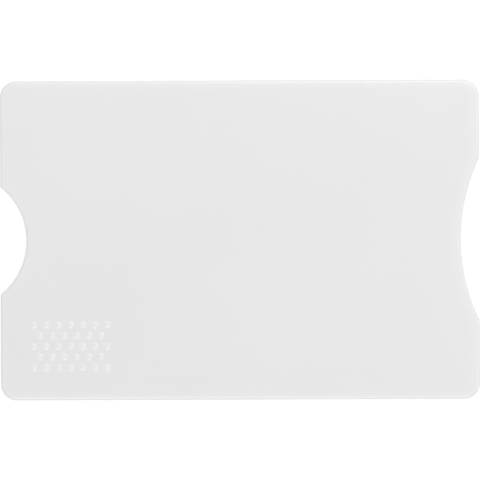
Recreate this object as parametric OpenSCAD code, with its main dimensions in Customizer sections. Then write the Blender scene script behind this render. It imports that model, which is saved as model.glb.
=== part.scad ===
// Rigid sleeve for one bank card: two moulded half shells, each lined with a foil shield.
// Millimetres. The sleeve lies on its rear face with the origin at the middle of that face.
// X runs from the closed end to the mouth, Y across, and Z up through the front face.

/* [Card] */
// Length of the card that the slot is made for
card_l = 85.6; // [80:0.1:92]
// Width of the card
card_w = 53.98; // [50:0.01:60]
// Slack between the card and each rail
side_play = 0.41; // [0.25:0.01:0.8]
// Slack between the card and the wall of the closed end
end_play = 0.3; // [0.1:0.1:1]
// Clear height of the slot
slot_h = 1.6; // [1.4:0.1:2.4]

/* [Shells] */
// Thickness of the front and rear walls
wall_t = 1; // [0.9:0.05:1.6]
// Width of the solid rail along each long side
rail_w = 2.6; // [2.2:0.1:4]
// Thickness of the wall across the closed end
end_wall = 1.6; // [1.4:0.1:3]
// How far the mouth reaches past the end of the card
mouth_reach = 2.5; // [1.5:0.1:4]
// Radius of the four corners
corner_r = 3; // [1.5:0.1:5]
// Radius of the corners deep inside the slot
slot_corner_r = 1.5; // [0.5:0.1:3]
// Radius that rounds the outer edges
edge_r = 0.65; // [0.3:0.05:0.65]
// Chamfer on each shell where the two meet, which leaves a fine line round the side
seam = 0.12; // [0.05:0.01:0.2]
// Chamfer inside the lips of the mouth, which leads the card in
lead_in = 0.2; // [0.1:0.05:0.2]

/* [Notches] */
// Radius of the thumb notch in the closed end
thumb_r = 12.75; // [9:0.25:20]
// Depth of the thumb notch, measured in from the end
thumb_depth = 4.9; // [3.8:0.1:8]
// Radius of the finger notch in the mouth
finger_r = 35; // [20:1:45]
// Depth of the finger notch, measured in from the end
finger_depth = 3.5; // [2.5:0.1:5]

/* [Shields] */
// Thickness of the adhesive film that bonds the foil into its shell
glue_t = 0.05; // [0.03:0.01:0.1]
// Thickness of the aluminium foil
foil_t = 0.05; // [0.03:0.01:0.1]
// Thickness of the film that the card slides on
film_t = 0.05; // [0.03:0.01:0.1]
// Least distance from the shield to either notch
shield_to_notch = 1.4; // [0.8:0.1:4]
// Distance from the shield to each rail
shield_to_rail = 0.8; // [0.5:0.1:4]
// Radius of the shield's die-cut corners
shield_corner_r = 3; // [1:0.1:6]
// Slack round the shield in its recess
shield_play = 0.15; // [0.05:0.05:0.4]

/* [Joint between the shells] */
// Diameter of the four locating pins
pin_d = 1.2; // [0.8:0.1:1.3]
// Height of the pins
pin_h = 0.8; // [0.5:0.1:1]
// Distance from each pin's axis to the nearer end
pin_to_end = 5; // [4:0.5:10]
// Slack round a pin in its socket
pin_play = 0.05; // [0.02:0.01:0.1]
// Width of the weld tongue
tongue_w = 0.5; // [0.4:0.05:0.6]
// Height of the weld tongue
tongue_h = 0.4; // [0.3:0.05:0.8]
// Distance between a tongue's end and the next pin, notch or rail
tongue_gap = 3; // [1.5:0.5:6]
// Slack on each side of a tongue in its groove
tongue_play = 0.05; // [0.02:0.01:0.1]
// Extra depth below a pin in its socket and a tongue in its groove
end_gap = 0.1; // [0.05:0.05:0.2]

/* [Card grips] */
// Radius of the bulge on each rail that grips the card
grip_r = 4; // [2:0.5:10]
// Slack left between the bulge and the card
grip_play = 0.05; // [0.02:0.01:0.15]
// Distance from the bulge's middle to the mouth end
grip_to_mouth = 14; // [8:0.5:30]

/* [Pips on the front face] */
// Width of a pip where it leaves the face
pip_d = 1.3; // [0.8:0.1:1.8]
// Height of a pip above the face
pip_h = 0.15; // [0.1:0.05:0.4]
// Pips in the longer rows
pip_columns = 7; // [3:1:9]
// Rows of pips
pip_rows = 5; // [1:2:7]
// Distance between neighbours in a row
pip_pitch = 2.3; // [2:0.1:3]
// Distance between rows
pip_row_pitch = 2; // [1.8:0.1:3]
// Distance from the middle of the patch to the closed end
pips_to_end = 13.1; // [12.5:0.1:40]
// Distance from the middle of the patch to the near long side
pips_to_side = 10.2; // [9:0.1:30]

/* [Hidden] */
// Length, width and thickness of the closed sleeve
body_l = end_wall + end_play + card_l + mouth_reach;
body_w = card_w + 2 * (side_play + rail_w);
body_t = slot_h + 2 * wall_t;
// Thickness of one shell, which is the height at which the two meet
half_t = body_t / 2;
// Width of the slot, and its depth in one shell
slot_w = body_w - 2 * rail_w;
half_slot = slot_h / 2;
// Thickness of a whole shield, which is the depth of its recess
shield_t = glue_t + foil_t + film_t;
// Ends of the shield along X, and its width
shield_x = [thumb_depth + shield_to_notch - body_l / 2, body_l / 2 - finger_depth - shield_to_notch];
shield_w = slot_w - 2 * shield_to_rail;
// Half the thumb notch's width where it meets the end
thumb_half_w = sqrt(pow(thumb_r, 2) - pow(thumb_r - thumb_depth, 2));
// Radius of the ball that a pip is a cap of
pip_ball_r = (pow(pip_d / 2, 2) + pow(pip_h, 2)) / (2 * pip_h);
// How far a cut runs past the face that it opens
past = 0.2;
shell_colour = [0.9, 0.9, 0.9];
$fn = 96;

// Section through a shell, twice as wide as its reach: chamfers at the seam below and rounded edges above
module section(reach) {
    polygon([
        [reach - seam, 0],
        [reach, seam],
        [reach, half_t - edge_r],
        [reach - edge_r, half_t],
        [edge_r - reach, half_t],
        [-reach, half_t - edge_r],
        [-reach, seam],
        [seam - reach, 0]
    ]);
    for (side = [-1, 1])
        translate([side * (reach - edge_r), half_t - edge_r]) circle(edge_r);
}

// Shell before anything is cut out of it: two crossing bars, and a round post in each corner
module block() {
    x = body_l / 2 - corner_r;
    y = body_w / 2 - corner_r;
    rotate([90, 0, 90]) linear_extrude(2 * x, center = true) section(body_w / 2);
    rotate([90, 0, 0]) linear_extrude(2 * y, center = true) section(body_l / 2);
    for (i = [-1, 1], j = [-1, 1])
        translate([i * x, j * y])
            rotate_extrude()
            intersection() {
                section(corner_r);
                translate([0, -past]) square([corner_r + past, half_t + 2 * past]);
            }
}

// Sheet with rounded corners, between two places along X
module sheet(from, to, width, radius, height) {
    x = (to - from) / 2;
    y = width / 2;
    translate([(from + to) / 2, 0])
        linear_extrude(height) {
            square([2 * x, 2 * (y - radius)], center = true);
            square([2 * (x - radius), 2 * y], center = true);
            for (i = [-1, 1], j = [-1, 1])
                translate([i * (x - radius), j * (y - radius)]) circle(radius);
        }
}

// Cuts a notch into the closed end, with the front edge rounded and a chamfer that starts at a height
module notch_cut(radius, depth, chamfer, height) {
    translate([depth - radius - body_l / 2, 0])
        rotate_extrude() {
            translate([0, -past]) square([radius, half_t + 2 * past]);
            translate([radius, height])
                polygon([[-past, -past], [chamfer + past, -past], [-past, chamfer + past]]);
            translate([radius, half_t - edge_r])
                difference() {
                    translate([-past, 0]) square([edge_r + past, edge_r + past]);
                    translate([edge_r, 0]) circle(edge_r);
                }
        }
}

// Half of the slot for the card, which runs out through the mouth
module slot_cut() {
    translate([0, 0, -past])
        sheet(end_wall - body_l / 2, body_l / 2 + corner_r, slot_w, slot_corner_r, half_slot + past);
}

// Chamfer inside the lip of the mouth, on both sides of its notch
module lead_in_cut() {
    translate([body_l / 2, slot_w / 2, half_slot])
        rotate([90, 0, 0])
        linear_extrude(slot_w)
        polygon([[past, -past], [past, lead_in + past], [-lead_in - past, -past]]);
}

// Recess for a shield in the wall of the slot
module shield_recess() {
    translate([0, 0, half_slot - past])
        sheet(shield_x[0] - shield_play, shield_x[1] + shield_play, shield_w + 2 * shield_play,
              shield_corner_r + shield_play, shield_t + past);
}

// Bulges on the rails that grip the edges of the card
module card_grips() {
    proud = side_play - grip_play;
    for (side = [0, 1])
        mirror([0, side, 0])
            translate([body_l / 2 - grip_to_mouth, 0, 0])
            intersection() {
                translate([0, slot_w / 2 - proud + grip_r, 0]) cylinder(h = half_slot + past, r = grip_r);
                translate([-grip_r, slot_w / 2 - grip_r, 0])
                    cube([2 * grip_r, grip_r + past, half_slot + past]);
            }
}

// Shape that the shells share, with the seam at z = 0 and the outer face up
module half_shell() {
    difference() {
        block();
        notch_cut(thumb_r, thumb_depth, seam, 0);
        rotate([0, 0, 180]) notch_cut(finger_r, finger_depth, lead_in, half_slot);
        slot_cut();
        lead_in_cut();
        shield_recess();
    }
    card_grips();
}

// Puts a pin or its socket near each corner
module at_pins() {
    for (x = [-1, 1], y = [-1, 1])
        translate([x * (body_l / 2 - pin_to_end), y * (body_w - rail_w) / 2])
            children();
}

// Pin, or its socket with some play, that starts inside the shell
module pin(play, height) {
    translate([0, 0, -past]) cylinder(h = height + past, d = pin_d + 2 * play);
}

// Weld tongues along the rails and beside the thumb notch, or their grooves with some play
module tongues(play, height) {
    rail_tongue = body_l - 2 * (pin_to_end + tongue_gap);
    inner = thumb_half_w + tongue_gap;
    outer = slot_w / 2 - tongue_gap;
    for (side = [-1, 1]) {
        translate([0, side * (body_w - rail_w) / 2, (height - past) / 2])
            cube([rail_tongue + 2 * play, tongue_w + 2 * play, height + past], center = true);
        translate([(end_wall - body_l) / 2, side * (inner + outer) / 2, (height - past) / 2])
            cube([tongue_w + 2 * play, outer - inner + 2 * play, height + past], center = true);
    }
}

// Cap of a ball that rises above z = 0 and goes on a little below it
module pip() {
    intersection() {
        translate([0, 0, pip_h - pip_ball_r]) sphere(pip_ball_r);
        translate([-pip_d, -pip_d, -past]) cube([2 * pip_d, 2 * pip_d, pip_d]);
    }
}

// Patch of pips near a corner of the front face, in staggered rows
module pips() {
    for (row = [0 : pip_rows - 1]) {
        count = pip_columns - row % 2;
        for (i = [0 : count - 1])
            translate([
                pips_to_end - body_l / 2 + (i - (count - 1) / 2) * pip_pitch,
                pips_to_side - body_w / 2 + (row - (pip_rows - 1) / 2) * pip_row_pitch,
                half_t
            ])
                pip();
    }
}

module front_shell() {
    color(shell_colour)
        translate([0, 0, half_t]) {
            difference() {
                half_shell();
                at_pins() pin(pin_play, pin_h + end_gap);
                tongues(tongue_play, tongue_h + end_gap);
            }
            pips();
        }
}

module rear_shell() {
    color(shell_colour)
        translate([0, 0, half_t]) {
            mirror([0, 0, 1]) half_shell();
            at_pins() pin(0, pin_h);
            tongues(0, tongue_h);
        }
}

// One layer of the front shell's shield, from its depth below the floor of the recess
module shield_layer(below, thickness) {
    translate([0, 0, half_t + half_slot + shield_t - below - thickness])
        sheet(shield_x[0], shield_x[1], shield_w, shield_corner_r, thickness);
}

// Turns a layer of the front shell over into the rear shell
module in_rear() {
    translate([0, 0, body_t]) mirror([0, 0, 1]) children();
}

module adhesive() {
    color([0.93, 0.9, 0.78]) shield_layer(0, glue_t);
}

module foil() {
    color([0.78, 0.79, 0.8]) shield_layer(glue_t, foil_t);
}

module liner() {
    color([0.96, 0.96, 0.94]) shield_layer(glue_t + foil_t, film_t);
}

front_shell();
rear_shell();
adhesive();  // front_shield_adhesive
foil();  // front_shield_foil
liner();  // front_shield_liner
in_rear() adhesive();  // rear_shield_adhesive
in_rear() foil();  // rear_shield_foil
in_rear() liner();  // rear_shield_liner
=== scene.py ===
"""Rigid sleeve for one bank card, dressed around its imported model.

The two moulded half shells are modelled here in full: their softly crowned faces, rounded edges, notches,
rails, shield recess, card grips, seam joint and the patch of pips. The six films of the two shields keep
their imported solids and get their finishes. Everything lies in the row frame, in metres.
"""

import logging
import math
from collections.abc import Callable, Iterable, Sequence
from dataclasses import dataclass, field
from enum import Enum, IntEnum

import bmesh
import bpy
from bmesh.types import BMEdge, BMesh, BMFace, BMVert
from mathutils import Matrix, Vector

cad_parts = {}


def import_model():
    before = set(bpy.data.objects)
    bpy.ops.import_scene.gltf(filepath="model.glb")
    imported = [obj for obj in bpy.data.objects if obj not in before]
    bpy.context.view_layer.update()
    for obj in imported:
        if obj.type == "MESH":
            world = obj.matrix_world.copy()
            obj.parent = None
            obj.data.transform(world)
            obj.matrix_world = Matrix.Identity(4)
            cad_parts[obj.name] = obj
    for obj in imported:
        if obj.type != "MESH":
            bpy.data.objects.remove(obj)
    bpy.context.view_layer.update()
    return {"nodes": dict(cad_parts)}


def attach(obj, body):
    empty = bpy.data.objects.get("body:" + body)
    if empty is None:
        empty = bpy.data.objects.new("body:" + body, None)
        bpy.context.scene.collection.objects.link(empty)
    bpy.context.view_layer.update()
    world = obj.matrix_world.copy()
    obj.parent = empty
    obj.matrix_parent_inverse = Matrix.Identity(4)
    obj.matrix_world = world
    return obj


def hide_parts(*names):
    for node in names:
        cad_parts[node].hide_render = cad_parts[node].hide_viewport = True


LOG = logging.getLogger("sleeve")
BODY = "root"
MM = 0.001
# Millimetres within which two places are taken as one, and within which vertices are merged
NEAR = 1e-3
WELD = 1e-4
# Share of its room that a bevel takes where its arcs would otherwise meet in one point
ALMOST = 0.999
# Scale of a mould grain's waves as a share of that of its pits
WAVE_SCALE = 0.12
# Upright share of a face's normal that parts lying faces from standing ones
LYING = 0.5


class Axis(IntEnum):
    """Axes of the sleeve's frame."""

    X = 0
    Y = 1
    Z = 2


class Half(Enum):
    """Which of the two half shells is moulded."""

    FRONT = "front_shell"
    REAR = "rear_shell"


class Slot(Enum):
    """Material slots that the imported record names."""

    SHELL = "shell_plastic"
    ADHESIVE = "adhesive_film"
    FOIL = "shield_foil"
    LINER = "liner_film"


@dataclass(frozen=True)
class Notch:
    """Arc cut into one end of the sleeve, in millimetres."""

    radius: float
    depth: float
    shoulder: float
    arc_steps: int
    shoulder_steps: int


@dataclass(frozen=True)
class SleeveSizes:
    """Sizes of the sleeve in millimetres: those of the part's source, and its crown and soft shoulders."""

    length: float = 90.0
    width: float = 60.0
    half_thickness: float = 1.8
    half_slot: float = 0.8
    slot_width: float = 54.8
    end_wall: float = 1.6
    corner: float = 3.0
    corner_steps: int = 18
    edge: float = 0.65
    edge_steps: int = 8
    mitre: float = 0.03
    seam: float = 0.12
    lead_in: float = 0.2
    slot_corner: float = 1.5
    slot_corner_steps: int = 8
    thumb: Notch = Notch(12.75, 4.9, 0.6, 64, 8)
    finger: Notch = Notch(35.0, 3.5, 2.5, 48, 8)
    crown_drop: float = 0.11
    crown_width: float = 1.85
    crown_steps: int = 8

    @property
    def end(self) -> float:
        """Distance from the middle to either end."""
        return self.length / 2

    @property
    def side(self) -> float:
        """Distance from the middle to either long side."""
        return self.width / 2

    @property
    def slot_side(self) -> float:
        """Distance from the middle to the inner wall of a rail."""
        return self.slot_width / 2

    @property
    def slot_end(self) -> float:
        """Place along X of the wall that closes the slot."""
        return self.end_wall - self.end

    @property
    def rail_middle(self) -> float:
        """Distance from the middle to the centre line of a rail."""
        return (self.side + self.slot_side) / 2


class OutlinePen:
    """Draws a chain of edges in one plane of a mesh, as straight lines and true arcs."""

    def __init__(self, mesh: BMesh, start: Sequence[float], axis: Sequence[float] = (0, 0, 1)) -> None:
        """Puts the pen down.

        Args:
            mesh: The mesh to draw in.
            start: Where the chain starts.
            axis: Normal of the plane, about which arcs turn.
        """
        self.mesh = mesh
        self.axis = Vector(axis)
        self.tip: BMVert = bmesh.ops.create_vert(mesh, co=start)["vert"][0]
        self.verts = [self.tip]

    def close(self) -> list[BMEdge]:
        """Joins the chain's end to its start, where it already lies.

        Returns:
            The edges of the closed loop.
        """
        bmesh.ops.remove_doubles(self.mesh, verts=[self.verts[0], self.tip], dist=WELD)
        self.verts = [v for v in self.verts if v.is_valid]
        return list({e for v in self.verts for e in v.link_edges})

    def line(self, *end: float) -> "OutlinePen":
        """Draws straight to a point.

        Args:
            *end: The three coordinates of the point.

        Returns:
            The pen, for the next stroke.
        """
        step = bmesh.ops.extrude_vert_indiv(self.mesh, verts=[self.tip])
        start = self.tip.co.copy()
        (self.tip,) = step["verts"]
        bmesh.ops.translate(self.mesh, verts=[self.tip], vec=Vector(end) - start)
        self.verts.append(self.tip)
        return self

    def arc(self, centre: Sequence[float], angle: float, steps: int) -> "OutlinePen":
        """Draws an arc.

        Args:
            centre: Centre of the arc.
            angle: Angle that it covers in radians, positive anticlockwise about the axis.
            steps: Number of edges in it.

        Returns:
            The pen, for the next stroke.
        """
        before = set(self.mesh.verts)
        swept = bmesh.ops.spin(
            self.mesh, geom=[self.tip], cent=centre, axis=self.axis, angle=angle, steps=steps, dvec=(0, 0, 0)
        )
        self.verts += [v for v in self.mesh.verts if v not in before]
        self.tip = next(v for v in swept["geom_last"] if isinstance(v, BMVert))
        return self


class Workbench:
    """Shapes a mesh by cutting, pulling and rounding, as on a plan in the plane z = 0."""

    def __init__(self) -> None:
        """Starts with an empty mesh, in millimetres."""
        self.mesh: BMesh = bmesh.new()

    def level(self, height: float, test: Callable[[Vector], bool] | None = None) -> list[BMFace]:
        """Finds the horizontal faces at a height.

        Args:
            height: Height of the faces.
            test: What each of a face's corners has to meet.

        Returns:
            The faces.
        """
        return [
            f
            for f in self.mesh.faces
            if all(abs(v.co.z - height) < NEAR and (test is None or test(v.co)) for v in f.verts)
        ]

    def edges(self, test: Callable[[Vector, Vector], bool]) -> list[BMEdge]:
        """Finds the edges that meet a test.

        Args:
            test: What the places of an edge's two ends have to meet.

        Returns:
            The edges.
        """
        return [e for e in self.mesh.edges if test(e.verts[0].co, e.verts[1].co)]

    def cut(self, faces: Iterable[BMFace], axis: Axis, place: float) -> list[BMFace]:
        """Cuts faces along a plane square to an axis.

        Args:
            faces: The faces to cut.
            axis: The axis.
            place: Where the plane crosses that axis.

        Returns:
            The faces that there are then.
        """
        point, normal = Vector(), Vector()
        point[axis], normal[axis] = place, 1
        chosen = list(faces)
        parts = {*chosen, *(e for f in chosen for e in f.edges), *(v for f in chosen for v in f.verts)}
        cut = bmesh.ops.bisect_plane(self.mesh, geom=list(parts), dist=WELD, plane_co=point, plane_no=normal)
        return [f for f in cut["geom"] if isinstance(f, BMFace)]

    def cell(self, height: float, low: Sequence[float], high: Sequence[float]) -> BMFace:
        """Cuts a rectangle out of the horizontal face that it lies in.

        Args:
            height: Height of that face.
            low: Lowest X and Y of the rectangle.
            high: Highest X and Y of it.

        Returns:
            The rectangle's face.
        """
        plan = (Axis.X, Axis.Y)
        middle = [(a + b) / 2 for a, b in zip(low, high)]

        def around(face: BMFace, axis: Axis) -> bool:
            """Whether a face reaches past both sides of the rectangle's middle."""
            places = [v.co[axis] for v in face.verts]
            return min(places) < middle[axis] < max(places)

        for axis in plan:
            for place in (low[axis], high[axis]):
                held = [f for f in self.level(height) if all(around(f, i) for i in plan)]
                self.cut(held, axis, place)
        (face,) = self.level(height, lambda c: all(low[i] - NEAR < c[i] < high[i] + NEAR for i in plan))
        return face

    def pull(self, faces: Iterable[BMFace], rise: float, keep: bool = False) -> list[BMFace]:
        """Pulls faces up or pushes them down, with new walls round them.

        Args:
            faces: The faces to move.
            rise: How far they go up, or down if it is negative.
            keep: Whether the faces also stay where they are.

        Returns:
            The faces at their new height.
        """
        old = list(faces)
        grown = bmesh.ops.extrude_face_region(self.mesh, geom=old)["geom"]
        moved = [v for v in grown if isinstance(v, BMVert)]
        bmesh.ops.translate(self.mesh, verts=moved, vec=(0, 0, rise))
        left = [f for f in old if f.is_valid]
        if left and not keep:
            bmesh.ops.delete(self.mesh, geom=left, context="FACES_ONLY")
        bare = [e for e in self.mesh.edges if e.is_wire]
        bmesh.ops.delete(self.mesh, geom=bare, context="EDGES")
        return [f for f in grown if isinstance(f, BMFace)]

    def pad(
        self,
        height: float,
        low: Sequence[float],
        high: Sequence[float],
        rise: float,
        radius: float = 0.0,
        steps: int = 1,
    ) -> None:
        """Raises or sinks a rectangle of a horizontal face, with round corners.

        Args:
            height: Height of that face.
            low: Lowest X and Y of the rectangle.
            high: Highest X and Y of it.
            rise: How far it goes up, or down if it is negative.
            radius: Radius of its four corners.
            steps: Number of edges in each corner.
        """
        face = self.cell(height, low, high)
        corners = [v.co.copy() for v in face.verts]
        self.pull([face], rise)
        if radius:
            posts = self.edges(
                lambda a, b: abs(abs(a.z - b.z) - abs(rise)) < NEAR
                and any((c.xy - a.xy).length < NEAR and (c.xy - b.xy).length < NEAR for c in corners)
            )
            self.round(posts, radius, steps)

    def round(self, edges: Iterable[BMEdge], radius: float, steps: int) -> list[BMFace]:
        """Rounds edges, or chamfers them where there is one step.

        Args:
            edges: The edges.
            radius: Distance from each edge to where the rounding starts.
            steps: Number of faces across it.

        Returns:
            The new faces.
        """
        return bmesh.ops.bevel(
            self.mesh,
            geom=list(edges),
            offset=radius,
            offset_type="OFFSET",
            segments=steps,
            profile=0.5,
            affect="EDGES",
            material=-1,
            clamp_overlap=False,
        )["faces"]

    def weld(self, verts: Iterable[BMVert] | None = None, distance: float = WELD) -> None:
        """Merges vertices that lie in one place.

        Args:
            verts: The vertices, or None for all of the mesh.
            distance: How near each other they have to lie.
        """
        chosen = self.mesh.verts if verts is None else verts
        bmesh.ops.remove_doubles(self.mesh, verts=list(chosen), dist=distance)

    def finish(self, name: str) -> bpy.types.Object:
        """Turns the mesh to metres, points its faces outwards and makes it an object.

        Args:
            name: Name of the object.

        Returns:
            The object, at the origin, linked to the scene.
        """
        bmesh.ops.scale(self.mesh, verts=self.mesh.verts[:], vec=(MM, MM, MM))
        bmesh.ops.recalc_face_normals(self.mesh, faces=self.mesh.faces[:])
        data = bpy.data.meshes.new(name)
        self.mesh.to_mesh(data)
        self.mesh.free()
        data.shade_smooth()
        piece = bpy.data.objects.new(name, data)
        bpy.context.scene.collection.objects.link(piece)
        return piece


@dataclass
class CardGrips:
    """Round bulges on the rails that hold the edges of the card."""

    radius: float = 4.0
    proud: float = 0.36
    place: float = 31.0
    steps: int = 12

    def shape(self, bench: Workbench, sizes: SleeveSizes) -> None:
        """Raises a bulge on the inner wall of each rail.

        Args:
            bench: Holds the shell, with its rails.
            sizes: Sizes of the sleeve.
        """
        lean = math.acos(1 - self.proud / self.radius)
        reach = self.radius * math.sin(lean)
        for side in (-1, 1):
            wall = side * sizes.slot_side
            for place in (self.place - reach, self.place, self.place + reach):
                faces = [f for f in bench.mesh.faces if all(abs(v.co.y - wall) < NEAR for v in f.verts)]
                bench.cut(faces, Axis.X, place)
            top = bench.edges(
                lambda a, b: all(abs(c.y - wall) < NEAR and abs(c.x - self.place) < NEAR for c in (a, b))
            )
            verts = {v for e in top for v in e.verts}
            bmesh.ops.translate(bench.mesh, verts=list(verts), vec=(0, -side * reach * math.tan(lean), 0))
            bench.round(top, ALMOST * reach / math.cos(lean), self.steps)


@dataclass
class SeamJoint:
    """Pins and weld tongues of the rear shell, and their sockets and grooves in the front one."""

    pin_radius: float = 0.6
    pin_height: float = 0.8
    pin_to_end: float = 5.0
    tongue_width: float = 0.5
    tongue_height: float = 0.4
    tongue_gap: float = 3.0
    play: float = 0.05
    end_gap: float = 0.1
    steps: int = 6

    def shape(self, bench: Workbench, sizes: SleeveSizes, half: Half) -> None:
        """Raises the pins and tongues on the seam, or sinks their sockets and grooves.

        Args:
            bench: Holds the shell, with its seam at z = 0 and its body above that.
            sizes: Sizes of the sleeve.
            half: Which shell it is.
        """
        play = self.play if half is Half.FRONT else 0.0
        sink = self.end_gap if half is Half.FRONT else 0.0
        way = 1 if half is Half.FRONT else -1
        pin_x = sizes.end - self.pin_to_end
        thumb = sizes.thumb
        inner = math.sqrt(thumb.radius**2 - (thumb.radius - thumb.depth) ** 2) + self.tongue_gap
        outer = sizes.slot_side - self.tongue_gap
        end_middle = (sizes.slot_end - sizes.end) / 2
        reach = pin_x - self.tongue_gap + play
        half_width = self.tongue_width / 2 + play
        for side in (-1, 1):
            middle = side * sizes.rail_middle
            for end in (-1, 1):
                r = self.pin_radius + play
                x = end * pin_x
                low, high = (x - r, middle - r), (x + r, middle + r)
                bench.pad(0, low, high, way * (self.pin_height + sink), ALMOST * r, self.steps)
            rise = way * (self.tongue_height + sink)
            bench.pad(0, (-reach, middle - half_width), (reach, middle + half_width), rise)
            near, far = sorted((side * (inner - play), side * (outer + play)))
            bench.pad(0, (end_middle - half_width, near), (end_middle + half_width, far), rise)


@dataclass
class PipPatch:
    """Staggered rows of low round pips near one corner of the front face."""

    middle: tuple[float, float] = (-31.9, -19.8)
    width: float = 1.3
    height: float = 0.15
    foot: float = 0.15
    margin: float = 1.2
    columns: int = 7
    rows: int = 5
    pitch: float = 2.3
    row_pitch: float = 2.0
    turns: int = 24
    foot_steps: int = 3
    dome_steps: int = 4

    def centres(self) -> list[tuple[float, float]]:
        """Works out the places of the pips on the face.

        Returns:
            X and Y of each pip, row by row.
        """
        found = []
        for row in range(self.rows):
            count = self.columns - row % 2
            y = self.middle[1] + (row - (self.rows - 1) / 2) * self.row_pitch
            found += [(self.middle[0] + (i - (count - 1) / 2) * self.pitch, y) for i in range(count)]
        return found

    def shape(self, bench: Workbench, top: float) -> None:
        """Grows the pips out of a flat face.

        Args:
            bench: Holds the shell.
            top: Height of the face.
        """
        mesh = bench.mesh
        reach = [
            (self.columns - 1) / 2 * self.pitch + self.margin,
            (self.rows - 1) / 2 * self.row_pitch + self.margin,
        ]
        low_corner = [m - r for m, r in zip(self.middle, reach)]
        high_corner = [m + r for m, r in zip(self.middle, reach)]
        face = bench.cell(top, low_corner, high_corner)
        bmesh.ops.delete(mesh, geom=[face], context="FACES_ONLY")
        ball = ((self.width / 2) ** 2 + self.height**2) / (2 * self.height)
        low = self.height - ball
        ring = math.sqrt((ball + self.foot) ** 2 - (self.foot - low) ** 2)
        lean = math.atan2(ring, self.foot - low)
        pen = OutlinePen(mesh, (ring, 0, top), axis=(0, -1, 0))
        pen.arc((ring, 0, top + self.foot), -lean, self.foot_steps)
        pen.arc((0, 0, top + low), lean, self.dome_steps)
        profile = {*pen.verts, *(e for v in pen.verts for e in v.link_edges)}
        known = set(mesh.verts)
        bmesh.ops.spin(
            mesh,
            geom=list(profile),
            cent=(0, 0, 0),
            axis=(0, 0, 1),
            angle=math.tau,
            steps=self.turns,
            use_merge=True,
        )
        pip = [v for v in mesh.verts if v not in known] + pen.verts
        bench.weld(pip)
        pip = [v for v in pip if v.is_valid]
        shape = {*pip, *(e for v in pip for e in v.link_edges), *(f for v in pip for f in v.link_faces)}
        first = Vector((*self.centres()[0], 0))
        for x, y in self.centres()[1:]:
            copy = bmesh.ops.duplicate(mesh, geom=list(shape))["geom"]
            bmesh.ops.translate(mesh, verts=[g for g in copy if isinstance(g, BMVert)], vec=(x, y, 0))
        bmesh.ops.translate(mesh, verts=pip, vec=first)
        open_edges = [
            e for e in mesh.edges if len(e.link_faces) == 1 and all(abs(v.co.z - top) < WELD for v in e.verts)
        ]
        bmesh.ops.triangle_fill(mesh, use_beauty=True, edges=open_edges, normal=(0, 0, 1))


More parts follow.
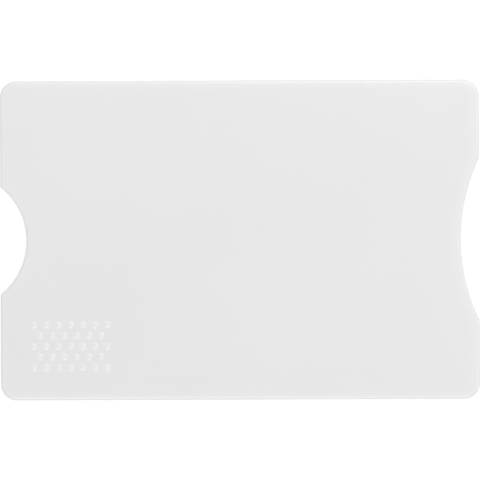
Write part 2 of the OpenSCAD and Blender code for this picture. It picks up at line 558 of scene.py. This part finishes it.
@dataclass
class HalfShell:
    """One moulded half, made with its seam at z = 0 and its outer face up, and then laid in place."""

    half: Half
    sizes: SleeveSizes = field(default_factory=SleeveSizes)
    grips: CardGrips = field(default_factory=CardGrips)
    joint: SeamJoint = field(default_factory=SeamJoint)
    pips: PipPatch = field(default_factory=PipPatch)
    recess_low: tuple[float, float] = (-38.85, -26.75)
    recess_high: tuple[float, float] = (40.25, 26.75)
    recess_depth: float = 0.15
    recess_corner: float = 3.15
    recess_corner_steps: int = 10
    crease: float = 32.0
    largest_first: int = 100

    def build(self) -> bpy.types.Object:
        """Moulds the shell and puts it in place.

        Returns:
            The shell's object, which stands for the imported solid.
        """
        bench = Workbench()
        self._wall(bench)
        self._rails(bench)
        self.grips.shape(bench, self.sizes)
        self._recess(bench)
        self._lips(bench)
        self.joint.shape(bench, self.sizes, self.half)
        if self.half is Half.FRONT:
            self.pips.shape(bench, self.sizes.half_thickness)
        bench.weld()
        self._place(bench)
        piece = bench.finish(f"{self.half.value}_moulding")
        piece.data.set_sharp_from_angle(angle=math.radians(self.crease))
        weighted = piece.modifiers.new("weighted normals", "WEIGHTED_NORMAL")
        weighted.keep_sharp = True
        weighted.weight = self.largest_first
        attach(piece, BODY)
        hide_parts(self.half.value)
        LOG.info("%s: %d faces", piece.name, len(piece.data.polygons))
        return piece

    def _notch(self, pen: OutlinePen, notch: Notch, end: int, inset: float) -> None:
        """Draws one end's notch with the fillets of its shoulders.

        Args:
            pen: Stands at the corner arc's end, and draws on to where the last fillet ends.
            notch: The notch.
            end: 1 for the mouth and -1 for the closed end.
            inset: Distance from the sleeve's outline to the one that is drawn.
        """
        height = pen.tip.co.z
        line = end * (self.sizes.end - inset)
        fillet_radius = max(notch.shoulder - inset, self.sizes.mitre)
        hub = end * (self.sizes.end - notch.depth + notch.radius)
        fillet = line - end * fillet_radius
        across = abs(hub - fillet)
        y = math.sqrt((notch.radius + inset + fillet_radius) ** 2 - across**2)
        lean = math.atan2(y, across)
        pen.line(line, -end * y, height)
        pen.arc((fillet, -end * y, height), lean, notch.shoulder_steps)
        pen.arc((hub, 0, height), -2 * lean, notch.arc_steps)
        pen.arc((fillet, end * y, height), lean, notch.shoulder_steps)

    def _outline(self, bench: Workbench, inset: float, height: float) -> list[BMEdge]:
        """Draws the outline of the sleeve as seen from above, or one at a distance inside it.

        Args:
            bench: Holds the shell.
            inset: Distance from the sleeve's outline.
            height: Height above the seam.

        Returns:
            The edges of the outline, as one closed loop.
        """
        s = self.sizes
        x, y = s.end - s.corner, s.side - s.corner
        end, side = s.end - inset, s.side - inset
        quarter = math.pi / 2
        pen = OutlinePen(bench.mesh, (-x, -side, height))
        pen.line(x, -side, height).arc((x, -y, height), quarter, s.corner_steps)
        self._notch(pen, s.finger, 1, inset)
        pen.line(end, y, height).arc((x, y, height), quarter, s.corner_steps)
        pen.line(-x, side, height).arc((-x, y, height), quarter, s.corner_steps)
        self._notch(pen, s.thumb, -1, inset)
        pen.line(-end, -y, height).arc((-x, -y, height), quarter, s.corner_steps)
        return pen.close()

    def _edge_profile(self) -> list[tuple[float, float]]:
        """Works out the rounded edge and the crown, as a section through them.

        Returns:
            Distance inside the outline and height above the seam, from the side up to the flat face.
        """
        s = self.sizes
        slope = math.atan2(2 * s.crown_drop, s.crown_width)
        turn = math.pi / 2 - slope
        start = s.edge * (1 - math.cos(turn))
        top = s.half_thickness - s.crown_drop
        centre = top - s.edge * math.sin(turn)
        arc = [turn * i / s.edge_steps for i in range(s.edge_steps + 1)]
        round_part = [(s.edge * (1 - math.cos(a)), centre + s.edge * math.sin(a)) for a in arc]
        shares = [i / s.crown_steps for i in range(1, s.crown_steps + 1)]
        crown = [(start + t * s.crown_width, top + s.crown_drop * (1 - (1 - t) ** 2)) for t in shares]
        return round_part + crown

    def _wall(self, bench: Workbench) -> None:
        """Makes the front or rear wall, with a rounded edge and a soft crown inside it.

        Args:
            bench: Holds the shell.
        """
        below = self._outline(bench, 0, self.sizes.half_slot)
        under = below
        for inset, height in self._edge_profile():
            above = self._outline(bench, inset, height)
            bmesh.ops.bridge_loops(bench.mesh, edges=under + above)
            under = above
        for loop in (below, under):
            bmesh.ops.contextual_create(bench.mesh, geom=loop)
        bmesh.ops.recalc_face_normals(bench.mesh, faces=bench.mesh.faces[:])

    def _rails(self, bench: Workbench) -> None:
        """Pulls the rails and the closed end's wall down to the seam, and rounds the slot's deep corners.

        Args:
            bench: Holds the shell, with its wall.
        """
        s = self.sizes
        under = bench.level(s.half_slot)
        for side in (-s.slot_side, s.slot_side):
            under = bench.cut(under, Axis.Y, side)
        between = bench.level(s.half_slot, lambda c: abs(c.y) < s.slot_side + NEAR)
        bench.cut(between, Axis.X, s.slot_end)
        solid = [
            f
            for f in bench.level(s.half_slot)
            if all(abs(v.co.y) > s.slot_side - NEAR for v in f.verts)
            or all(v.co.x < s.slot_end + NEAR for v in f.verts)
        ]
        bench.pull(solid, -s.half_slot)
        bmesh.ops.recalc_face_normals(bench.mesh, faces=bench.mesh.faces[:])
        between = [
            e
            for e in bench.edges(lambda a, b: max(a.z, b.z) < NEAR)
            if all(f.normal.z < -LYING for f in e.link_faces)
        ]
        bmesh.ops.dissolve_edges(bench.mesh, edges=between)
        corners = bench.edges(
            lambda a, b: abs(a.z - b.z) > NEAR
            and all(abs(c.x - s.slot_end) < NEAR and abs(abs(c.y) - s.slot_side) < NEAR for c in (a, b))
        )
        bench.round(corners, s.slot_corner, s.slot_corner_steps)

    def _recess(self, bench: Workbench) -> None:
        """Sinks the shield's recess into the wall of the slot."""
        bench.pad(
            self.sizes.half_slot,
            self.recess_low,
            self.recess_high,
            self.recess_depth,
            self.recess_corner,
            self.recess_corner_steps,
        )

    def _lips(self, bench: Workbench) -> None:
        """Chamfers the seam all round and the inside of the mouth's lip.

        Args:
            bench: Holds the shell, with its rails.
        """
        s = self.sizes

        def on_lip(corner: Vector) -> bool:
            """Whether a corner lies on the wall of the slot no deeper than the finger notch."""
            level = abs(corner.z - s.half_slot) < NEAR and abs(corner.y) < s.slot_side + NEAR
            return level and corner.x > s.end - s.finger.depth - NEAR

        def at_slot(a: Vector, b: Vector) -> bool:
            """Whether an edge between two corners of the seam is one of the slot's."""
            middle = (a + b) / 2
            return abs(middle.y) < s.slot_side + NEAR and middle.x > s.slot_end - NEAR

        lip = bench.edges(lambda a, b: on_lip(a) and on_lip(b) and abs(a.y - b.y) > NEAR)
        bench.round(self._under_a_side(bench, lip), s.lead_in, 1)
        seam = bench.edges(lambda a, b: max(abs(a.z), abs(b.z)) < NEAR and not at_slot(a, b))
        bench.round(self._under_a_side(bench, seam), s.seam, 1)

    def _under_a_side(self, bench: Workbench, edges: Iterable[BMEdge]) -> list[BMEdge]:
        """Keeps the edges at which just one face stands upright.

        Args:
            bench: Holds the shell.
            edges: The edges to choose from.

        Returns:
            The edges that are kept.
        """
        bench.mesh.normal_update()
        return [e for e in edges if sum(abs(f.normal.z) < LYING for f in e.link_faces) == 1]

    def _place(self, bench: Workbench) -> None:
        """Turns a rear shell over and lifts the shell to its place in the sleeve.

        Args:
            bench: Holds the shell.
        """
        mesh = bench.mesh
        if self.half is Half.REAR:
            bmesh.ops.scale(mesh, verts=mesh.verts[:], vec=(1, 1, -1))
        bmesh.ops.translate(mesh, verts=mesh.verts[:], vec=(0, 0, self.sizes.half_thickness))


class Socket(Enum):
    """Kinds of socket on a shader group."""

    COLOUR = "NodeSocketColor"
    VALUE = "NodeSocketFloat"
    VECTOR = "NodeSocketVector"


class NodeBoard:
    """Places and joins shader nodes in one tree, in columns from left to right."""

    column_width = 200

    def __init__(self, tree: bpy.types.NodeTree) -> None:
        """Starts at the left.

        Args:
            tree: The tree to work in.
        """
        self.tree = tree
        self.column = 0

    def add(self, kind: str, settings: dict[str, object] | None = None, **inputs: object) -> bpy.types.Node:
        """Places a node.

        Args:
            kind: Blender's name of the node's type.
            settings: Values of the node's own properties.
            **inputs: What each input takes, by its name with underscores: a socket to join, or a value.

        Returns:
            The node.
        """
        node = self.tree.nodes.new(kind)
        node.location = (self.column * self.column_width, 0)
        self.column += 1
        for name, value in (settings or {}).items():
            setattr(node, name, value)
        for name, value in inputs.items():
            socket = next(i for i in node.inputs if i.enabled and i.name == name.replace("_", " "))
            if isinstance(value, bpy.types.NodeSocket):
                self.tree.links.new(value, socket)
            else:
                socket.default_value = value
        return node

    def mix(self, share: bpy.types.NodeSocket, low: object, high: object) -> bpy.types.NodeSocket:
        """Adds a mix of two values.

        Args:
            share: Share of the second value.
            low: The first value, or a socket that has it.
            high: The second value, or a socket that has it.

        Returns:
            The socket of the mixed value.
        """
        node = self.add("ShaderNodeMix", {"data_type": "FLOAT"}, Factor=share, A=low, B=high)
        return node.outputs[0]


@dataclass(frozen=True)
class Effect:
    """A shader node group that more than one finish uses, with its inputs, outputs and wiring."""

    name: str
    inputs: dict[str, tuple[Socket, object]]
    outputs: dict[str, Socket]
    wire: Callable[[NodeBoard, bpy.types.Node], dict[str, bpy.types.NodeSocket]]

    def tree(self) -> bpy.types.NodeTree:
        """Finds the group, or builds it the first time.

        Returns:
            The group's tree.
        """
        known = bpy.data.node_groups.get(self.name)
        if known:
            return known
        tree = bpy.data.node_groups.new(self.name, "ShaderNodeTree")
        for name, (kind, value) in self.inputs.items():
            socket = tree.interface.new_socket(name, in_out="INPUT", socket_type=kind.value)
            socket.default_value = value
        for name, kind in self.outputs.items():
            tree.interface.new_socket(name, in_out="OUTPUT", socket_type=kind.value)
        board = NodeBoard(tree)
        made = self.wire(board, board.add("NodeGroupInput"))
        end = board.add("NodeGroupOutput")
        for name, socket in made.items():
            tree.links.new(socket, end.inputs[name])
        return tree

    def place(self, board: NodeBoard, **inputs: object) -> bpy.types.Node:
        """Puts the group into a material with its own values.

        Args:
            board: The material's board.
            **inputs: What each input takes, by its name with underscores.

        Returns:
            The group's node.
        """
        node = board.add("ShaderNodeGroup", {"node_tree": self.tree()})
        for name, value in inputs.items():
            socket = node.inputs[name.replace("_", " ")]
            if isinstance(value, bpy.types.NodeSocket):
                board.tree.links.new(value, socket)
            else:
                socket.default_value = value
        return node


def wire_grain(board: NodeBoard, given: bpy.types.Node) -> dict[str, bpy.types.NodeSocket]:
    """Wires the fine texture of a moulding tool: small pits on slower waves.

    Args:
        board: The group's board.
        given: The node that has the group's inputs.

    Returns:
        The sockets that the group puts out, by name.
    """
    inputs = given.outputs
    pits = board.add(
        "ShaderNodeTexNoise", Vector=inputs["Place"], Scale=inputs["Scale"], Detail=2.0, Roughness=0.55
    )
    slow = board.add("ShaderNodeMath", {"operation": "MULTIPLY"})
    board.tree.links.new(inputs["Scale"], slow.inputs[0])
    slow.inputs[1].default_value = WAVE_SCALE
    waves = board.add("ShaderNodeTexNoise", Vector=inputs["Place"], Scale=slow.outputs[0], Detail=1.0)
    return {"Height": board.mix(inputs["Waves"], pits.outputs[0], waves.outputs[0])}


def wire_drift(board: NodeBoard, given: bpy.types.Node) -> dict[str, bpy.types.NodeSocket]:
    """Wires a slow drift between a low and a high value, and between two close colours.

    Args:
        board: The group's board.
        given: The node that has the group's inputs.

    Returns:
        The sockets that the group puts out, by name.
    """
    inputs = given.outputs
    clouds = board.add("ShaderNodeTexNoise", Vector=inputs["Place"], Scale=inputs["Scale"], Detail=3.0)
    spread = board.add("ShaderNodeMapRange", Value=clouds.outputs[0], From_Min=0.3, From_Max=0.7).outputs[0]
    value = board.add("ShaderNodeMapRange", Value=spread, To_Min=inputs["Low"], To_Max=inputs["High"])
    tint = board.add(
        "ShaderNodeMix",
        {"data_type": "RGBA"},
        Factor=spread,
        A=inputs["Colour"],
        B=inputs["Second Colour"],
    )
    return {"Value": value.outputs[0], "Tint": tint.outputs[2]}


def wire_streaks(board: NodeBoard, given: bpy.types.Node) -> dict[str, bpy.types.NodeSocket]:
    """Wires the long fine lines that rolling leaves along X in a foil or film.

    Args:
        board: The group's board.
        given: The node that has the group's inputs.

    Returns:
        The sockets that the group puts out, by name.
    """
    inputs = given.outputs
    long = board.add("ShaderNodeMapping", Vector=inputs["Place"], Scale=(0.02, 1.0, 1.0))
    fine = board.add("ShaderNodeTexNoise", Vector=long.outputs[0], Scale=inputs["Scale"], Detail=4.0)
    spread = board.add("ShaderNodeMapRange", Value=fine.outputs[0], From_Min=0.35, From_Max=0.65).outputs[0]
    value = board.add("ShaderNodeMapRange", Value=spread, To_Min=inputs["Low"], To_Max=inputs["High"])
    return {"Value": value.outputs[0], "Height": spread}


MOULD_GRAIN = Effect(
    "mould grain",
    {"Place": (Socket.VECTOR, (0, 0, 0)), "Scale": (Socket.VALUE, 6000.0), "Waves": (Socket.VALUE, 0.3)},
    {"Height": Socket.VALUE},
    wire_grain,
)
SLOW_DRIFT = Effect(
    "slow drift",
    {
        "Place": (Socket.VECTOR, (0, 0, 0)),
        "Scale": (Socket.VALUE, 30.0),
        "Low": (Socket.VALUE, 0.3),
        "High": (Socket.VALUE, 0.4),
        "Colour": (Socket.COLOUR, (0.8, 0.8, 0.8, 1)),
        "Second Colour": (Socket.COLOUR, (0.8, 0.8, 0.8, 1)),
    },
    {"Value": Socket.VALUE, "Tint": Socket.COLOUR},
    wire_drift,
)
ROLLING_STREAKS = Effect(
    "rolling streaks",
    {
        "Place": (Socket.VECTOR, (0, 0, 0)),
        "Scale": (Socket.VALUE, 4000.0),
        "Low": (Socket.VALUE, 0.15),
        "High": (Socket.VALUE, 0.35),
    },
    {"Value": Socket.VALUE, "Height": Socket.VALUE},
    wire_streaks,
)


@dataclass(frozen=True)
class Finish:
    """A finish with a slowly drifting colour and gloss, and the grain or streaks of how it was made."""

    name: str
    colour: tuple[float, float, float]
    second_colour: tuple[float, float, float]
    roughness: tuple[float, float]
    drift_scale: float = 30.0
    grain_scale: float = 6000.0
    grain_depth: float = 0.002
    streaks: bool = False
    metallic: float = 0.0
    ior: float = 1.5
    transmission: float = 0.0

    def material(self) -> bpy.types.Material:
        """Builds the material.

        Returns:
            The material, in which the Principled BSDF stands alone.
        """
        made = bpy.data.materials.new(self.name)
        made.use_nodes = True
        made.node_tree.nodes.clear()
        board = NodeBoard(made.node_tree)
        place = board.add("ShaderNodeTexCoord").outputs["Object"]
        low, high = self.roughness
        drift = SLOW_DRIFT.place(
            board,
            Place=place,
            Scale=self.drift_scale,
            Low=low,
            High=high,
            Colour=(*self.colour, 1),
            Second_Colour=(*self.second_colour, 1),
        )
        if self.streaks:
            texture = ROLLING_STREAKS.place(board, Place=place, Scale=self.grain_scale, Low=low, High=high)
            roughness = texture.outputs["Value"]
        else:
            texture = MOULD_GRAIN.place(board, Place=place, Scale=self.grain_scale)
            roughness = drift.outputs["Value"]
        bump = board.add(
            "ShaderNodeBump", Height=texture.outputs["Height"], Strength=1.0, Distance=self.grain_depth * MM
        )
        shader = board.add(
            "ShaderNodeBsdfPrincipled",
            Base_Color=drift.outputs["Tint"],
            Roughness=roughness,
            Normal=bump.outputs[0],
            Metallic=self.metallic,
            IOR=self.ior,
            Transmission_Weight=self.transmission,
        )
        board.add("ShaderNodeOutputMaterial", Surface=shader.outputs[0])
        return made

    def dress(self, piece: bpy.types.Object, slot: Slot) -> None:
        """Gives a piece this finish alone.

        Args:
            piece: The piece.
            slot: The record's slot that the finish stands for; not used.
        """
        made = bpy.data.materials.get(self.name) or self.material()
        piece.data.materials.clear()
        piece.data.materials.append(made)


SHELL_PLASTIC = Finish(
    "moulded white plastic", (0.8, 0.8, 0.8), (0.806, 0.806, 0.806), (0.28, 0.32), grain_depth=0.003, ior=1.59
)
SHIELD_FOIL = Finish(
    "rolled aluminium foil",
    (0.78, 0.79, 0.8),
    (0.74, 0.75, 0.765),
    (0.29, 0.38),
    grain_scale=5000.0,
    grain_depth=0.001,
    streaks=True,
    metallic=1.0,
)
LINER_FILM = Finish(
    "silky white film",
    (0.86, 0.86, 0.84),
    (0.83, 0.83, 0.81),
    (0.29, 0.33),
    grain_scale=2500.0,
    grain_depth=0.0003,
    streaks=True,
)
ADHESIVE_FILM = Finish(
    "clear adhesive film",
    (0.84, 0.78, 0.58),
    (0.8, 0.73, 0.52),
    (0.12, 0.2),
    drift_scale=120.0,
    grain_scale=900.0,
    grain_depth=0.004,
    ior=1.47,
    transmission=0.6,
)


@dataclass
class Shield:
    """The three bonded films that line one shell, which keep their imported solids."""

    half: Half
    layers: dict[str, tuple[Finish, Slot]] = field(
        default_factory=lambda: {
            "adhesive": (ADHESIVE_FILM, Slot.ADHESIVE),
            "foil": (SHIELD_FOIL, Slot.FOIL),
            "liner": (LINER_FILM, Slot.LINER),
        }
    )

    def dress(self, nodes: dict[str, bpy.types.Object]) -> None:
        """Gives each film its finish.

        Args:
            nodes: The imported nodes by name.
        """
        side = self.half.value.removesuffix("_shell")
        for layer, (finish, slot) in self.layers.items():
            piece = nodes[f"{side}_shield_{layer}"]
            finish.dress(piece, slot)
            LOG.info("%s: %s", piece.name, finish.name)


@dataclass(frozen=True)
class Lamp:
    """A soft square light that faces the sleeve."""

    name: str
    place: tuple[float, float, float]
    power: float
    side: float

    def hang(self) -> None:
        """Hangs the light at its place."""
        light = bpy.data.lights.new(self.name, "AREA")
        light.shape = "SQUARE"
        light.size = self.side
        light.energy = self.power
        lamp = bpy.data.objects.new(self.name, light)
        lamp.location = self.place
        lamp.rotation_euler = Vector(self.place).to_track_quat("Z", "Y").to_euler()
        bpy.context.scene.collection.objects.link(lamp)


@dataclass
class Studio:
    """Pale floor, soft lights, pale tent and the camera straight above."""

    floor_side: float = 6.0
    floor_drop: float = 0.00002
    floor_shown: float = 0.85
    floor_shade: float = 0.25
    floor_bounce: float = 0.4
    ceiling: float = 0.2
    walls: float = 1.5
    opening: float = 0.0
    opening_inner: float = 8.0
    opening_outer: float = 18.0
    lamps: tuple[Lamp, ...] = (
        Lamp("key light", (0.155, 0.35, 0.32), 0.95, 0.35),
        Lamp("fill light", (0.0, -0.9, 0.9), 4.5, 0.8),
    )
    lens: float = 200.0
    sensor: float = 36.0
    clip_start: float = 0.01
    view_width: float = 0.090158
    view_height: float = 0.003
    view_shift: tuple[float, float] = (0.0, 0.00001)
    view_roll: float = -0.22

    def build(self) -> None:
        """Sets up the whole studio."""
        bpy.context.scene.view_settings.view_transform = "Standard"
        self._floor()
        self._world()
        for lamp in self.lamps:
            lamp.hang()
        self._camera()

    def _floor(self) -> None:
        """Lays a floor that shows as white and keeps the sleeve's shadow."""
        mesh = bmesh.new()
        bmesh.ops.create_grid(mesh, x_segments=1, y_segments=1, size=self.floor_side / 2)
        bmesh.ops.translate(mesh, verts=mesh.verts[:], vec=(0, 0, -self.floor_drop))
        data = bpy.data.meshes.new("floor")
        mesh.to_mesh(data)
        mesh.free()
        floor = bpy.data.objects.new("floor", data)
        bpy.context.scene.collection.objects.link(floor)
        made = bpy.data.materials.new("pale floor")
        made.use_nodes = True
        made.node_tree.nodes.clear()
        board = NodeBoard(made.node_tree)
        seen = self._seen(board)
        matt = board.add("ShaderNodeBsdfDiffuse", Color=(*[self.floor_bounce] * 3, 1))
        shade = board.add("ShaderNodeBsdfDiffuse", Color=(*[self.floor_shade] * 3, 1))
        glow = board.add("ShaderNodeEmission", Color=(1, 1, 1, 1), Strength=self.floor_shown)
        both = board.add("ShaderNodeAddShader")
        made.node_tree.links.new(shade.outputs[0], both.inputs[0])
        made.node_tree.links.new(glow.outputs[0], both.inputs[1])
        mixed = board.add("ShaderNodeMixShader")
        made.node_tree.links.new(seen, mixed.inputs[0])
        made.node_tree.links.new(matt.outputs[0], mixed.inputs[1])
        made.node_tree.links.new(both.outputs[0], mixed.inputs[2])
        board.add("ShaderNodeOutputMaterial", Surface=mixed.outputs[0])
        data.materials.append(made)

    def _seen(self, board: NodeBoard) -> bpy.types.NodeSocket:
        """Adds a mask of the rays that see a surface: straight, in a reflection or through a clear film.

        Args:
            board: The material's board.

        Returns:
            The mask's socket.
        """
        rays = board.add("ShaderNodeLightPath").outputs
        first = board.add("ShaderNodeMath", {"operation": "MAXIMUM"})
        board.tree.links.new(rays["Is Camera Ray"], first.inputs[0])
        board.tree.links.new(rays["Is Glossy Ray"], first.inputs[1])
        second = board.add("ShaderNodeMath", {"operation": "MAXIMUM"})
        board.tree.links.new(first.outputs[0], second.inputs[0])
        board.tree.links.new(rays["Is Transmission Ray"], second.inputs[1])
        return second.outputs[0]

    def _world(self) -> None:
        """Makes the pale tent round the sleeve, with bright walls and an opening above for the camera.

        The camera sees it as plain white. Only its light has the bright walls, and only reflections and clear
        films show the opening.
        """
        world = bpy.data.worlds.new("pale tent")
        world.use_nodes = True
        world.node_tree.nodes.clear()
        board = NodeBoard(world.node_tree)
        rays = board.add("ShaderNodeLightPath").outputs
        way = board.add("ShaderNodeTexCoord").outputs["Generated"]
        height = board.add("ShaderNodeSeparateXYZ", Vector=way).outputs["Z"]
        light = board.add(
            "ShaderNodeMapRange", Value=height, To_Min=self.walls, To_Max=self.ceiling
        ).outputs[0]
        mirrored = board.add(
            "ShaderNodeMapRange",
            Value=height,
            From_Min=math.cos(math.radians(self.opening_outer)),
            From_Max=math.cos(math.radians(self.opening_inner)),
            To_Min=1.0,
            To_Max=self.opening,
        ).outputs[0]
        glossy = board.add("ShaderNodeMath", {"operation": "MAXIMUM"})
        board.tree.links.new(rays["Is Glossy Ray"], glossy.inputs[0])
        board.tree.links.new(rays["Is Transmission Ray"], glossy.inputs[1])
        indirect = board.mix(glossy.outputs[0], light, mirrored)
        strength = board.mix(rays["Is Camera Ray"], indirect, 1.0)
        shown = board.add("ShaderNodeBackground", Color=(1, 1, 1, 1), Strength=strength)
        board.add("ShaderNodeOutputWorld", Surface=shown.outputs[0])
        bpy.context.scene.world = world

    def _camera(self) -> None:
        """Hangs the camera straight above the sleeve, as in the photograph."""
        camera = bpy.data.cameras.new("camera")
        camera.lens = self.lens
        camera.sensor_width = self.sensor
        camera.clip_start = self.clip_start
        holder = bpy.data.objects.new("camera", camera)
        away = self.view_width * self.lens / self.sensor
        holder.location = (*self.view_shift, self.view_height + away)
        holder.rotation_euler = (0, 0, math.radians(self.view_roll))
        bpy.context.scene.collection.objects.link(holder)
        bpy.context.scene.camera = holder


def main() -> None:
    """Builds the sleeve and its studio."""
    logging.basicConfig(level=logging.INFO, format="%(name)s: %(message)s")
    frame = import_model()
    Studio().build()
    for half in Half:
        SHELL_PLASTIC.dress(HalfShell(half).build(), Slot.SHELL)
        Shield(half).dress(frame["nodes"])


if __name__ == "__main__":
    main()
